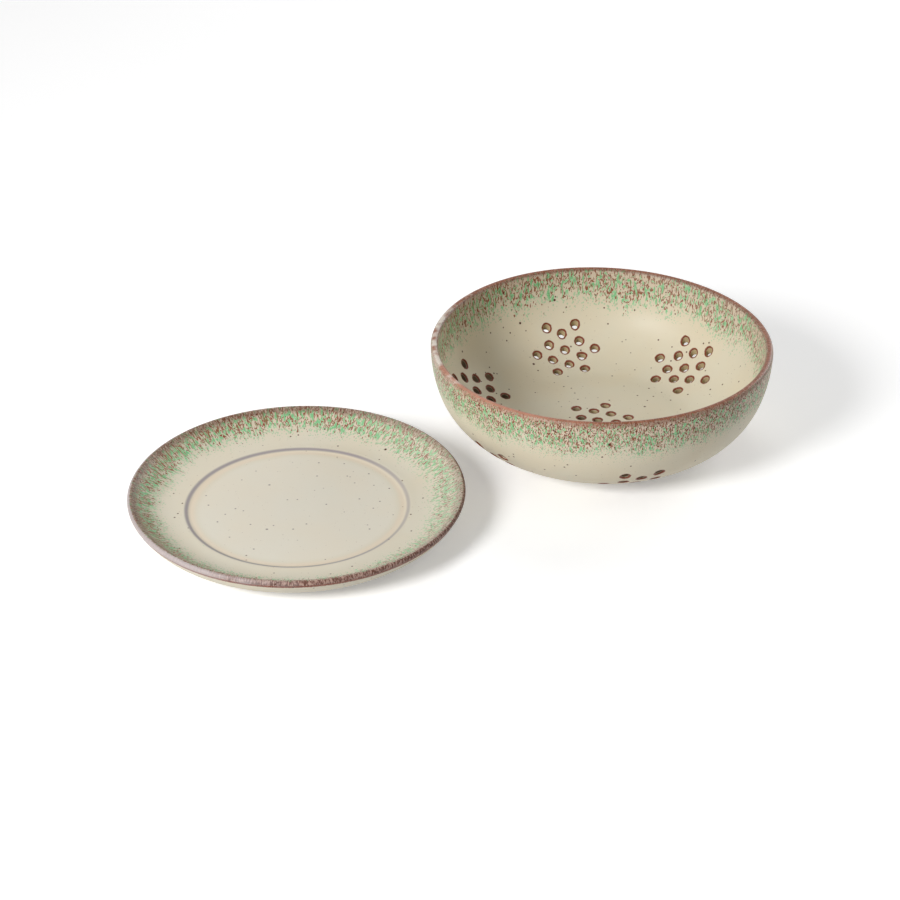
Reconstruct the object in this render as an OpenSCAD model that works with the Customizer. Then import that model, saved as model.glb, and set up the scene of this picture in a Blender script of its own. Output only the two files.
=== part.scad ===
// Stoneware berry bowl with drain holes, standing beside the saucer that catches its drips.
// Millimetres, +Z up. The origin is on the table, under the middle of the pair.

/* [Bowl] */
// Diameter over the rim of the bowl
bowl_d = 177; // [160:1:200]
// Height of the bowl
bowl_h = 56; // [52:0.5:68]
// Thickness of the bowl's rounded lip
bowl_lip_t = 3.8; // [3:0.1:5]
// Thickness of the bowl's floor
bowl_floor_t = 5.4; // [4:0.1:7]
// Outer radius of the curve that turns the floor up into the wall
bowl_knuckle_r = 44; // [38:0.5:48]
// Outer radius of the long curve of the wall
bowl_wall_r = 69; // [64:0.5:80]
// Diameter over the bowl's foot ring
bowl_foot_d = 100; // [80:1:104]
// Width of the bowl's foot ring
bowl_foot_w = 6; // [4:0.5:10]
// Height of the bowl's foot ring
bowl_foot_h = 3; // [2:0.25:5]

/* [Drain holes] */
// Diameter of a drain hole
hole_d = 5; // [3:0.1:6]
// Spacing of neighbouring holes in a star
hole_pitch = 9.5; // [8:0.1:10.5]
// Number of stars around the wall
star_count = 6; // [3:1:6]
// Distance along the inside from the middle of the floor to the middle of a star
star_reach = 68.5; // [64:0.5:74]
// Bearing of the first star, from the right towards the back
star_turn = 42.7; // [0:0.1:60]
// Lean of the drill from upright in the stars of the wall
drill_lean = 28; // [20:1:40]

/* [Saucer] */
// Diameter over the rim of the saucer
saucer_d = 167; // [155:1:190]
// Height of the saucer
saucer_h = 18; // [14:0.5:24]
// Thickness of the saucer's rounded lip
saucer_lip_t = 3; // [2.4:0.1:4]
// Thickness of the saucer's floor under the well
saucer_floor_t = 4.3; // [3:0.1:6]
// Diameter at which the underside starts to curve up to the rim
saucer_belly_d = 124; // [116:1:136]
// Diameter over the saucer's foot ring
saucer_foot_d = 120; // [100:1:122]
// Width of the saucer's foot ring
saucer_foot_w = 6; // [4:0.5:10]
// Height of the saucer's foot ring
saucer_foot_h = 2.5; // [1.5:0.25:4]

/* [Saucer well] */
// Depth of the well below the saucer's shoulder
well_depth = 1.2; // [0.6:0.1:2.5]
// Room between the bowl's foot ring and the edge of the well's flat
well_clearance = 2.5; // [1:0.25:5]
// Width of the slope around the well
well_slope_w = 5; // [2:0.25:7]

/* [Layout] */
// Gap between the two rims, seen from above
rim_gap = 3.5; // [1:0.5:40]
// Bearing from the saucer to the bowl, from the right towards the back
bowl_bearing = 28.5; // [10:0.5:80]

/* [Hidden] */

// Facets of the turned shapes and of the drain holes
turned_fn = 180;
hole_fn = 32;
// Length by which a cut runs past the surfaces that it opens
cut_over = 1.5;
// Overlap by which neighbouring rounds run into each other
merge = 0.01;

// The bowl's outside, up to the middle of the lip's round
bowl_r = bowl_d / 2;
bowl_lip_r = bowl_lip_t / 2;
bowl_rim_z = bowl_h - bowl_lip_r;
bowl_foot_r = bowl_foot_d / 2;

// The bowl's inside, whose wall thins from the floor to the lip
inside_r = bowl_r - bowl_lip_t + merge;
inside_z = bowl_foot_h + bowl_floor_t;
inside_knuckle_r = bowl_knuckle_r - bowl_floor_t;
inside_wall_r = bowl_wall_r - (bowl_floor_t + bowl_lip_t) / 2;
inside_wall_c = [inside_r - inside_wall_r, bowl_rim_z];
inside_knuckle_c = knuckle_c(inside_wall_c, inside_wall_r, inside_knuckle_r, inside_z);
inside_turn = turn_end(inside_wall_c, inside_knuckle_c);
// Distance along the inside to the end of the flat floor, and to the end of the knuckle
flat_reach = inside_knuckle_c.x;
knuckle_reach = flat_reach + arc_length(inside_knuckle_r, inside_turn);

// A star is one hole, six around it, and six more in the gaps between those
star_arms = 6;
arm_angle = 360 / star_arms;
tip_pitch = hole_pitch * sqrt(3);
star_spots = concat(
    [[0, 0]],
    [for (i = [1 : star_arms]) hole_pitch * compass((i + 1 / 2) * arm_angle)],
    [for (i = [1 : star_arms]) tip_pitch * compass(i * arm_angle)]
);
star_angle = 360 / star_count;

// Levels of the saucer: underside, floor of the well, shoulder around it, middle of the lip's round
saucer_r = saucer_d / 2;
saucer_lip_r = saucer_lip_t / 2;
saucer_foot_r = saucer_foot_d / 2;
belly_r = saucer_belly_d / 2;
well_z = saucer_foot_h + saucer_floor_t;
shoulder_z = well_z + well_depth;
saucer_lip_c = [saucer_r - saucer_lip_r, saucer_h - saucer_lip_r];
well_r = bowl_foot_r + well_clearance;
shoulder_r = well_r + well_slope_w;

// The saucer's flare: the inside curve passes under the lip's round, the outside curve holds it
flare_in_foot = [shoulder_r, shoulder_z - merge];
flare_out_foot = [belly_r, saucer_foot_h - merge];
flare_in_r = flare_radius(flare_in_foot, saucer_lip_c, saucer_lip_r - merge);
flare_out_r = flare_radius(flare_out_foot, saucer_lip_c, merge - saucer_lip_r);
flare_in_c = flare_in_foot + [0, flare_in_r];
flare_out_c = flare_out_foot + [0, flare_out_r];

// The pair stands with the middle of its outline on the origin
pair_step = (saucer_r + bowl_r + rim_gap) * compass(bowl_bearing);
pair_lean = (bowl_r - saucer_r) * [1, 1];
saucer_pos = -(pair_step + pair_lean) / 2;
bowl_pos = saucer_pos + pair_step;

// Unit step on a bearing
function compass(angle) = [cos(angle), sin(angle)];

// Length of an arc, and the angle that a length takes up
function arc_length(r, angle) = r * angle * PI / 180;
function arc_angle(r, length) = length / r * 180 / PI;

// Middle of the knuckle's circle, which touches the floor's line and lies within the wall's circle
function knuckle_c(wall_c, wall_r, knuckle_r, floor_z) = [
    wall_c.x + sqrt(pow(wall_r - knuckle_r, 2) - pow(wall_c.y - floor_z - knuckle_r, 2)),
    floor_z + knuckle_r
];

// Angle from straight down at which the knuckle runs into the wall
function turn_end(wall_c, knuckle_c) = atan2(knuckle_c.x - wall_c.x, wall_c.y - knuckle_c.y);

// Radius of an arc that leaves level ground at a point and touches a lip of the given radius,
// under the lip's round for a positive radius and over it for a negative one
function flare_radius(from, lip_c, lip_r) =
    (pow(lip_c.x - from.x, 2) + pow(lip_c.y - from.y, 2) - pow(lip_r, 2)) / (2 * (lip_c.y - from.y + lip_r));

// Point of the bowl's inside, as radius, height and lean of the surface, at a distance from the middle
function inside_at(reach) =
    reach < flat_reach ? [reach, inside_z, 0] :
    reach < knuckle_reach ?
        arc_point(inside_knuckle_c, inside_knuckle_r, arc_angle(inside_knuckle_r, reach - flat_reach)) :
        arc_point(inside_wall_c, inside_wall_r, inside_turn + arc_angle(inside_wall_r, reach - knuckle_reach));
function arc_point(c, r, lean) = [c.x + r * sin(lean), c.y - r * cos(lean), lean];

// Half outline of a cup: level floor, knuckle, and a wall that ends upright at the rim
module cup_outline(rim_r, rim_z, wall_r, knuckle_r, floor_z) {
    wall_c = [rim_r - wall_r, rim_z];
    k = knuckle_c(wall_c, wall_r, knuckle_r, floor_z);
    turn = turn_end(wall_c, k);
    wedge = 2 * wall_r;
    intersection() {
        translate([0, floor_z]) square([rim_r, rim_z - floor_z]);
        union() {
            translate([0, floor_z]) square([k.x, rim_z - floor_z]);
            translate(k) circle(r = knuckle_r + merge);
            intersection() {
                translate(wall_c) circle(r = wall_r);
                polygon([wall_c, wall_c + wedge * [sin(turn), -cos(turn)], wall_c + [wedge, 0]]);
            }
        }
    }
}

// Half section of a foot ring that reaches up into the body that it carries
module foot_outline(foot_r, foot_w, top_z) {
    translate([foot_r - foot_w, 0]) square([foot_w, top_z]);
}

// Half section of the bowl
module bowl_section() {
    difference() {
        union() {
            cup_outline(bowl_r - merge, bowl_rim_z, bowl_wall_r, bowl_knuckle_r, bowl_foot_h);
            foot_outline(bowl_foot_r, bowl_foot_w, inside_z);
        }
        cup_outline(inside_r, bowl_rim_z, inside_wall_r, inside_knuckle_r, inside_z);
    }
    translate([bowl_r - bowl_lip_r, bowl_rim_z]) circle(r = bowl_lip_r);
}

// One drain hole at a distance from the middle of the inside and on a bearing, with the drill leaning out.
// Where the drill isn't square to the clay, it goes deeper, and its slanted end needs more room to clear.
module drain_hole(reach, bearing, lean) {
    spot = inside_at(reach);
    slant = abs(spot[2] - lean);
    depth = bowl_floor_t / cos(slant);
    clear = cut_over + hole_d / 2 * tan(slant);
    rotate([0, 0, bearing])
        translate([spot[0], 0, spot[1]])
            rotate([0, -lean, 0])
                translate([0, 0, -depth - clear])
                    cylinder(d = hole_d, h = depth + 2 * clear, $fn = hole_fn);
}

// The star in the middle of the floor, turned so that its near holes face the stars of the wall
module floor_star() {
    for (spot = star_spots)
        drain_hole(norm(spot), star_turn + arm_angle / 2 + atan2(spot.y, spot.x), 0);
}

// A star of the wall, laid out along the curve of the inside
module wall_star(bearing) {
    for (spot = star_spots) {
        reach = star_reach + spot.y;
        drain_hole(reach, bearing + arc_angle(inside_at(reach)[0], spot.x), drill_lean);
    }
}

// Half section of the saucer
module saucer_section() {
    inner_end = saucer_lip_c + saucer_lip_t * unit(flare_in_c - saucer_lip_c);
    outer_end = saucer_lip_c + saucer_lip_t * unit(saucer_lip_c - flare_out_c);
    difference() {
        union() {
            translate([0, saucer_foot_h]) square([belly_r, inner_end.y - saucer_foot_h]);
            intersection() {
                translate(flare_out_c) circle(r = flare_out_r);
                polygon([
                    [belly_r, saucer_foot_h],
                    [outer_end.x, saucer_foot_h],
                    outer_end,
                    saucer_lip_c,
                    inner_end,
                    [belly_r, inner_end.y]
                ]);
            }
            foot_outline(saucer_foot_r, saucer_foot_w, well_z);
        }
        dish_outline();
    }
    translate(saucer_lip_c) circle(r = saucer_lip_r);
}
function unit(v) = v / norm(v);

// Half outline of the space over the saucer: well, shoulder and flare
module dish_outline() {
    top_z = saucer_h + cut_over;
    polygon([
        [0, well_z],
        [well_r, well_z],
        [shoulder_r, shoulder_z],
        [shoulder_r, top_z],
        [0, top_z]
    ]);
    intersection() {
        translate(flare_in_c) circle(r = flare_in_r);
        translate([shoulder_r, shoulder_z]) square([saucer_r - shoulder_r, top_z - shoulder_z]);
    }
}

module drip_saucer() {
    color("#d3cbb8")
        translate(saucer_pos)
            rotate_extrude($fn = turned_fn)
                saucer_section($fn = turned_fn);
}

module colander_bowl() {
    color("#cbc1a6")
        translate(bowl_pos)
            difference() {
                rotate_extrude($fn = turned_fn)
                    bowl_section($fn = turned_fn);
                floor_star();
                for (i = [0 : star_count - 1])
                    wall_star(star_turn + i * star_angle);
            }
}

drip_saucer();
colander_bowl();
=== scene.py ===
import math

import bmesh
import bpy
import numpy as np
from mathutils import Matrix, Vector
from mathutils.geometry import delaunay_2d_cdt


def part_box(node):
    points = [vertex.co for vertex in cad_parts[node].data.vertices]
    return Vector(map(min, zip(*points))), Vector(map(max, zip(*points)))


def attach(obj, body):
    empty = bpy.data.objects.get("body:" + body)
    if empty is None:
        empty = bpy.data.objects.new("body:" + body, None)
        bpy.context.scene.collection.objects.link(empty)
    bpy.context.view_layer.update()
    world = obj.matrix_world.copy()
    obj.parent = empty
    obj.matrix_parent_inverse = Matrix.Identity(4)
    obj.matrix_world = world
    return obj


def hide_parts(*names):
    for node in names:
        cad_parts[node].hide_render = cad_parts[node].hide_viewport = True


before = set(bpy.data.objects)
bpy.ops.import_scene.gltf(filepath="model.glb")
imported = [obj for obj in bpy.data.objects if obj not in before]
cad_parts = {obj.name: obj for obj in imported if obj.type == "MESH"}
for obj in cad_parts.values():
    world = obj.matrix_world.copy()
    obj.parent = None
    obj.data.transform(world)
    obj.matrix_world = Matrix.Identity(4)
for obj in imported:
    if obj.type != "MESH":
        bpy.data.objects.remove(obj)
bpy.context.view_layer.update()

mm = 0.001  # pieces are worked out in millimetres and set down in metres
fullTurn = 2 * math.pi
scene = bpy.context.scene
scene.view_settings.view_transform = "Standard"


# Camera
cameraView = dict(
    lens=89.52,  # focal length on a 36 mm wide sensor
    sensor=36.0,
    pitch=30.69,  # degrees below level
    distance=1173.65,  # to the target, mm
    target=(-3.87, 22.43, 0.0),  # spot of the table in the middle of the picture, mm
)


def makeCamera(view):
    pitch = math.radians(view["pitch"])
    back = np.array([0.0, -math.cos(pitch), math.sin(pitch)])  # from the target to the lens
    data = bpy.data.cameras.new("studioCamera")
    data.lens = view["lens"]
    data.sensor_width = view["sensor"]
    camera = bpy.data.objects.new("studioCamera", data)
    camera.location = (np.array(view["target"]) + view["distance"] * back) * mm
    camera.rotation_euler = (math.pi / 2 - pitch, 0, 0)
    scene.collection.objects.link(camera)
    scene.camera = camera


makeCamera(cameraView)
print("camera placed")


# Nodes and colours
# Linear light from an sRGB hex value, by the curve that sRGB defines
def linear(hexText):
    share = np.array([int(hexText[i:i + 2], 16) for i in (0, 2, 4)]) / 255
    light = np.where(share <= 0.04045, share / 12.92, ((share + 0.055) / 1.055) ** 2.4)
    return (*light.tolist(), 1.0)


# Adds a shader node, sets its properties, and gives its inputs values or links, by name or by number.
# From and To stand for both of their ends, Min and Max, and take a pair.
def addNode(tree, kind, inputs=None, **settings):
    made = tree.nodes.new("ShaderNode" + kind)
    for key, value in settings.items():
        setattr(made, key, value)
    given = dict(inputs or {})
    for key in ("From", "To"):
        if key in given:
            given[key + " Min"], given[key + " Max"] = given.pop(key)
    for key, value in given.items():
        named = [socket for socket in made.inputs if socket.name == key and socket.enabled]
        socket = named[0] if named else made.inputs[key]
        if isinstance(value, bpy.types.Node):
            value = next(output for output in value.outputs if output.enabled)
        if isinstance(value, bpy.types.NodeSocket):
            tree.links.new(value, socket)
        else:
            socket.default_value = value
    return made


def newMaterial(name):
    material = bpy.data.materials.new(name)
    material.use_nodes = True
    material.node_tree.nodes.clear()
    return material, material.node_tree


# Table and light
studio = dict(
    floorSize=20000.0,  # side of the table, mm
    floorColour="FCFCFC", floorBounce="E8E8E8",  # as the picture sees it, and as it lights the pieces
    floorGlow=0.28,  # what the picture sees besides the lamps' light, so that the open table is white
    sky="FFFFFF", skyFill=0.18, skySeen=1.0,  # level of the light from all round, and as the picture sees it
    panelDistance=1600.0,  # from the middle of the table, mm
    panels=dict(  # bearing from +X and height over the table in degrees, width in mm, and watts
        key=(228, 32, 520.0, 21.6),
        rim=(45, 20, 800.0, 8.4),
        back=(90, 45, 800.0, 3.6),
        right=(0, 45, 800.0, 1.2),
    ),
)


# One for rays that draw the picture: straight from the camera, or by way of a gloss or a glass
def pictureRays(tree):
    path = addNode(tree, "LightPath")
    direct = path.outputs["Is Camera Ray"]
    for kind in ("Is Glossy Ray", "Is Transmission Ray"):
        direct = addNode(tree, "Math", {0: direct, 1: path.outputs[kind]}, operation="MAXIMUM")
    return direct


# Matt white paper: an even white that still takes a shadow
def tablePaper(setup):
    material, tree = newMaterial("matt white paper")
    seen = pictureRays(tree)
    level = addNode(tree, "Math", {0: seen, 1: setup["floorGlow"]}, operation="MULTIPLY")
    paper = addNode(tree, "Mix", {
        "Factor": seen, "A": linear(setup["floorBounce"]), "B": linear(setup["floorColour"])},
        data_type="RGBA")
    matt = addNode(tree, "BsdfDiffuse", {"Color": paper})
    glow = addNode(tree, "Emission", {"Color": linear(setup["sky"]), "Strength": level})
    both = addNode(tree, "AddShader", {0: matt, 1: glow})
    addNode(tree, "OutputMaterial", {"Surface": both})
    return material


def makeTable(setup):
    half = setup["floorSize"] / 2 * mm
    ground = bpy.data.meshes.new("table")
    corners = [(-half, -half, 0), (half, -half, 0), (half, half, 0), (-half, half, 0)]
    ground.from_pydata(corners, [], [(0, 1, 2, 3)])
    ground.materials.append(tablePaper(setup))
    table = bpy.data.objects.new("table", ground)
    scene.collection.objects.link(table)


def makeSky(setup):
    world = bpy.data.worlds.new("paleStudio")
    world.use_nodes = True
    tree = world.node_tree
    tree.nodes.clear()
    level = addNode(tree, "MapRange", {
        "Value": pictureRays(tree), "To": (setup["skyFill"], setup["skySeen"])})
    sky = addNode(tree, "Background", {"Color": linear(setup["sky"]), "Strength": level})
    addNode(tree, "OutputWorld", {"Surface": sky})
    scene.world = world


def makePanels(setup):
    for name, (bearing, height, width, watts) in setup["panels"].items():
        lamp = bpy.data.lights.new(name + "Panel", "AREA")
        lamp.shape = "DISK"
        lamp.size = width * mm
        lamp.energy = watts
        panel = bpy.data.objects.new(name + "Panel", lamp)
        side, up = math.radians(bearing), math.radians(height)
        toward = Vector((math.cos(side) * math.cos(up), math.sin(side) * math.cos(up), math.sin(up)))
        panel.location = toward * setup["panelDistance"] * mm
        panel.rotation_euler = toward.to_track_quat("Z", "Y").to_euler()
        scene.collection.objects.link(panel)


makeTable(studio)
makeSky(studio)
makePanels(studio)
print("table and light set")


# Glazed stoneware, thrown and fired
# A satin cream glaze over speckled clay, which drifts between cool and warm. The rim was dipped in a second
# glaze that ran in the kiln: mauve and brown where it drew thin on the lip, then a pinkish ground with green
# pools and brown lines, and dark dots where iron came through.
glaze = dict(
    cream="DAD3C0", warmCream="DBD1BB", driftSize=26.0, driftSpan=(0.35, 0.65),  # mm, and levels of the noise
    bandGround="D0BEAA", groundShare=0.8,  # the second glaze where it is thin
    dipSoft=0.3,  # way over which the dip ends, mm
    lipTurn=0.5,  # half the way over which the outside's grain becomes the inside's, mm
    edgeSwings=((14.0, 40.0, 2.5), (3.0, 12.0, 1.8)),  # width, length, reach of the lower edge's swings, mm
    green="7DBE86", paleGreen="A8D5A8", mistGreen="B2C8A5",
    poolWarp=0.4, poolFall=0.3, poolEdge=(-0.015, 0.02), deepPool=0.10,  # levels of the pools' noise
    lineBrown="8A5036", lineSoft=0.015, breakFall=0.4, breakEdge=(0.48, 0.54),  # levels of the lines' breaks
    streakFall=0.4, streakSoft=0.04,  # levels of the streaks' noise
    dotBrown="522212", spotEdge=(-0.08, 0.02),  # soft edge of flecks and dots, in pitches
    underLip=(-3.0, -1.0),  # runs between which the dots grow outside, mm
    tickBrown="573121", tickEdge=(0.48, 0.54),  # dark ticks on the lip, where the rag is high
    thinGlaze="C9AE9C", thinEdge=(0.38, 0.45), thinShare=0.6,  # thin spots on the lip, where it is low
    ragWide=0.7, ragLong=1.9,  # size of the ticks, mm
    paleSize=9.0, paleStray=0.2,  # size of the lip's paler patches (painted sheen and light, partly lilac glaze), mm, and their stray round the rim
    specks=(  # spacing and radius in mm, colour, strength
        (3.1, 0.30, "A08C78", 0.6),
        (5.6, 0.60, "553022", 1.0),
        (16.0, 0.9, "4A2416", 1.0),
    ),
    speckCore=0.55,  # share of a speck's radius that has its full colour
    clay="BCA68A", grit="7A6450", gritSize=0.8, gritSpan=(0.55, 0.7),  # bare clay, mm and levels of the noise
    satin=0.44, poolGloss=0.36, bareRough=0.9,  # roughness of the cream, the pools and the bare clay
    ior=1.48, gleam=0.30,  # of the fired glaze, and the level of its gloss
    peel=2.4, swellHeight=0.06, swellStrength=0.5,  # width, height, strength of the glaze's fine swells, mm
    poolHeight=0.4,  # how far the pools stand up, as a share of the swells
)
noiseMiddle = 0.5  # level that half of a noise lies above
noiseSpan = (0.25, 0.75)  # levels between which nearly all of a noise lies


# Where a point lies: its flow mark, its run down from the lip's top, and its place on the piece, all in mm.
# Runs are counted shorter where the glaze ran further, inside and outside. Below the end of the dip, a large
# step is added to the run, so that nothing of the second glaze shows. The grain is the flow mark again,
# finer outside, for the patterns.
def glazePlaces(tree, look):
    flow = addNode(tree, "Attribute", attribute_name="flow").outputs["Vector"]
    along = addNode(tree, "SeparateXYZ", {"Vector": flow}).outputs["Z"]
    inner = addNode(tree, "Math", {0: along, 1: look["innerShare"]}, operation="MULTIPLY")
    outer = addNode(tree, "Math", {0: along, 1: -look["outerShare"]}, operation="MULTIPLY")
    run = addNode(tree, "Math", {0: inner, 1: outer}, operation="MAXIMUM")
    plain = addNode(tree, "MapRange", {
        "Value": along, "From": (-look["dipEnd"] - look["dipSoft"], -look["dipEnd"]),
        "To": (2 * look["bandEnd"], 0.0)})
    run = addNode(tree, "Math", {0: run, 1: plain}, operation="ADD")
    finer = addNode(tree, "MapRange", {
        "Value": along, "From": (-look["lipTurn"], look["lipTurn"]), "To": (look["outsideFine"], 1.0)})
    grain = addNode(tree, "VectorMath", {0: flow, "Scale": finer}, operation="SCALE")
    place = addNode(tree, "TexCoord").outputs["Object"]
    spot = addNode(tree, "VectorMath", {0: place, "Scale": 1 / mm}, operation="SCALE")
    return dict(flow=flow, along=along, run=run, spot=spot, grain=grain)


# A noise drawn out along the run, from the width and length of its grain in mm
def runNoise(tree, places, wide, long, **settings):
    drawn = addNode(tree, "VectorMath", {0: places, 1: (1 / wide, 1 / wide, 1 / long)}, operation="MULTIPLY")
    return addNode(tree, "TexNoise", {"Vector": drawn, "Scale": 1.0, **settings})


# Run from the lip with slow swings and narrow drips added, so that the band's lower edge is ragged
def bandRun(tree, at, look):
    run = at["run"]
    for wide, long, reach in look["edgeSwings"]:
        wave = runNoise(tree, at["flow"], wide, long, Detail=1.0)
        shift = addNode(tree, "MapRange", {"Value": wave, "From": noiseSpan, "To": (-reach, reach)})
        run = addNode(tree, "Math", {0: run, 1: shift}, operation="ADD")
    return run


# Cream that drifts between cool and warm, under the thin second glaze from the lip to the band's end
def creamGround(tree, at, band, look):
    wave = addNode(tree, "TexNoise", {"Vector": at["spot"], "Scale": 1 / look["driftSize"]})
    drift = addNode(tree, "MapRange", {"Value": wave, "From": look["driftSpan"]})
    cream = addNode(tree, "Mix", {
        "Factor": drift, "A": linear(look["cream"]), "B": linear(look["warmCream"])}, data_type="RGBA")
    cover = addNode(tree, "MapRange", {
        "Value": band, "From": (look["lipEnd"], look["bandEnd"]),
        "To": (look["groundShare"], 0.0)}, interpolation_type="SMOOTHSTEP")
    return addNode(tree, "Mix", {
        "Factor": cover, "A": cream, "B": linear(look["bandGround"])}, data_type="RGBA")


# How far a point lies toward a bearing, from -1 to 1
def sideFacing(tree, at, look, bearing):
    turn = math.radians(bearing)
    toward = (math.cos(turn) / look["rim"], math.sin(turn) / look["rim"], 0.0)
    facing = addNode(tree, "VectorMath", {0: at["flow"], 1: toward}, operation="DOT_PRODUCT")
    return facing.outputs["Value"]


# A share that goes from one value to another toward a side: a bearing, where it starts and is full
def sideShare(tree, at, look, side, low, high):
    bearing, start, full = side
    facing = sideFacing(tree, at, look, bearing)
    return addNode(tree, "MapRange", {"Value": facing, "From": (start, full), "To": (low, high)})


# A noise of the band, drawn out along the run: it goes from one level on the lip to another below it, sinks
# where the band fades, and may be higher toward a bearing
def bandNoise(tree, at, band, look, grain, levels, fade, side=None, **settings):
    level = runNoise(tree, at["grain"], *grain, **settings)
    start, end, sunk = fade
    parts = [
        addNode(tree, "MapRange", {"Value": band, "From": (look["lipEnd"], look["poolStart"]), "To": levels}),
        addNode(tree, "MapRange", {"Value": band, "From": (start, end), "To": (0.0, -sunk)}),
    ]
    if side:
        bearing, dense = side
        facing = sideFacing(tree, at, look, bearing)
        parts.append(addNode(tree, "Math", {0: facing, 1: dense}, operation="MULTIPLY"))
    for part in parts:
        level = addNode(tree, "Math", {0: level, 1: part}, operation="ADD")
    return level


# Green pools where the band's noise is high, deeper green where it is highest: few on the lip, most below it
def greenPools(tree, at, band, look, colour):
    lip, below, fade, end, *side = look["pools"]
    level = bandNoise(
        tree, at, band, look, look["grain"], (lip - noiseMiddle, below - noiseMiddle),
        (fade, end, look["poolFall"]), side, Detail=1.0, Distortion=look["poolWarp"])
    pools = addNode(tree, "MapRange", {"Value": level, "From": look["poolEdge"]})
    depth = addNode(tree, "MapRange", {"Value": level, "From": (0.0, look["deepPool"])})
    tint = addNode(tree, "Mix", {
        "Factor": depth, "A": linear(look["paleGreen"]), "B": linear(look["green"])}, data_type="RGBA")
    colour = addNode(tree, "Mix", {"Factor": pools, "A": colour, "B": tint}, data_type="RGBA")
    return colour, level, pools


# Brown lines just outside the pools' edges, broken up by another noise: most on the lip, none past the band
def brownLines(tree, at, band, look, colour, level):
    edge, half, lip, below, fade, end = look["lines"]
    soft = look["lineSoft"]
    away = addNode(tree, "Math", {0: level, 1: edge}, operation="ADD")
    away = addNode(tree, "Math", {0: away}, operation="ABSOLUTE")
    line = addNode(tree, "MapRange", {"Value": away, "From": (half - soft, half + soft), "To": (1.0, 0.0)})
    chance = bandNoise(
        tree, at, band, look, look["breaks"], (lip, below), (fade, end, look["breakFall"]), Detail=0.0)
    kept = addNode(tree, "MapRange", {"Value": chance, "From": look["breakEdge"]})
    line = addNode(tree, "Math", {0: line, 1: kept}, operation="MULTIPLY")
    return addNode(tree, "Mix", {
        "Factor": line, "A": colour, "B": linear(look["lineBrown"])}, data_type="RGBA")


# Long thin brown streaks where a noise drawn far out along the run is high, denser toward a bearing
def brownStreaks(tree, at, band, look, colour):
    wide, long, top, bearing, dense, share = look["streaks"]
    level = bandNoise(
        tree, at, band, look, (wide, long), (-top, -top),
        (look["bandEnd"] / 2, look["bandEnd"], look["streakFall"]), (bearing, dense), Detail=0.0)
    streak = addNode(tree, "MapRange", {
        "Value": level, "From": (0.0, look["streakSoft"]), "To": (0.0, share)})
    return addNode(tree, "Mix", {
        "Factor": streak, "A": colour, "B": linear(look["lineBrown"])}, data_type="RGBA")


# Painted shade and light: the band is darker on its side away from the lamps, and under a pale veil on the
# lit side
def sideShadeAndLight(tree, at, band, look, colour, kind):
    for tint, *side, share in look[kind]:
        cover = sideShare(tree, at, look, side, 0.0, share)
        within = addNode(tree, "MapRange", {
            "Value": band, "From": (look["poolStart"], look["bandEnd"]), "To": (1.0, 0.0)})
        cover = addNode(tree, "Math", {0: cover, 1: within}, operation="MULTIPLY")
        colour = addNode(tree, "Mix", {"Factor": cover, "A": colour, "B": linear(tint)}, data_type="RGBA")
    return colour


# Spots around scattered points, drawn out a little along the run: green flecks where the band breaks up,
# then dark dots, smaller and fewer down the band
def glazeSpots(tree, at, band, look, colour):
    for kind, tint in (("fleck", "mistGreen"), ("dot", "dotBrown")):
        pitch, draw, thick, thin, start, top, outside = look[kind]
        drawn = addNode(tree, "VectorMath", {
            0: at["grain"], 1: (1 / pitch, 1 / pitch, 1 / (pitch * draw))}, operation="MULTIPLY")
        cells = addNode(tree, "TexVoronoi", {"Vector": drawn, "Scale": 1.0})
        reach = addNode(tree, "MapRange", {
            "Value": band, "From": (top, look["bandEnd"] + look["spotsPast"]), "To": (thick, thin)})
        rise = addNode(tree, "MapRange", {"Value": band, "From": (start, top), "To": (-thick, 0.0)})
        under = addNode(tree, "MapRange", {
            "Value": at["along"], "From": look["underLip"], "To": (outside, 0.0)})
        for part in (rise, under):
            reach = addNode(tree, "Math", {0: reach, 1: part}, operation="ADD")
        gap = addNode(tree, "Math", {0: cells, 1: reach}, operation="SUBTRACT")
        spots = addNode(tree, "MapRange", {"Value": gap, "From": look["spotEdge"], "To": (1.0, 0.0)})
        colour = addNode(tree, "Mix", {
            "Factor": spots, "A": colour, "B": linear(look[tint])}, data_type="RGBA")
    return colour


# Colour of a strip on the lip: thin spots where the rag is low, dark ticks where it is high, then the pale
# lit sides, which are painted sheen and light
def stripColour(tree, look, tint, tickShare, paleShare, rag, litPales):
    colour = linear(tint)
    for edge, shares, over in (
            (look["thinEdge"], (look["thinShare"] * tickShare, 0.0), look["thinGlaze"]),
            (look["tickEdge"], (0.0, tickShare), look["tickBrown"])):
        marks = addNode(tree, "MapRange", {"Value": rag, "From": edge, "To": shares})
        colour = addNode(tree, "Mix", {"Factor": marks, "A": colour, "B": linear(over)}, data_type="RGBA")
    for over, side in litPales:
        pale = addNode(tree, "Math", {0: side, 1: paleShare}, operation="MULTIPLY")
        colour = addNode(tree, "Mix", {"Factor": pale, "A": colour, "B": linear(over)}, data_type="RGBA")
    return colour


# Cover of a strip: full from start to end, swaying with the rag, and less on the side where it is thin
def stripCover(tree, at, look, start, end, soft, reach, shares, rag):
    sway = addNode(tree, "MapRange", {"Value": rag, "From": noiseSpan, "To": (-reach, reach)})
    away = addNode(tree, "Math", {0: at["along"], 1: (start + end) / 2}, operation="SUBTRACT")
    away = addNode(tree, "Math", {0: away}, operation="ABSOLUTE")
    away = addNode(tree, "Math", {0: away, 1: sway}, operation="ADD")
    half = (end - start) / 2
    full = sideShare(tree, at, look, look["thinSide"], *shares)
    return addNode(tree, "MapRange", {
        "Value": away, "From": (half - soft, half + soft), "To": (full, 0.0)},
        interpolation_type="SMOOTHSTEP")
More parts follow.
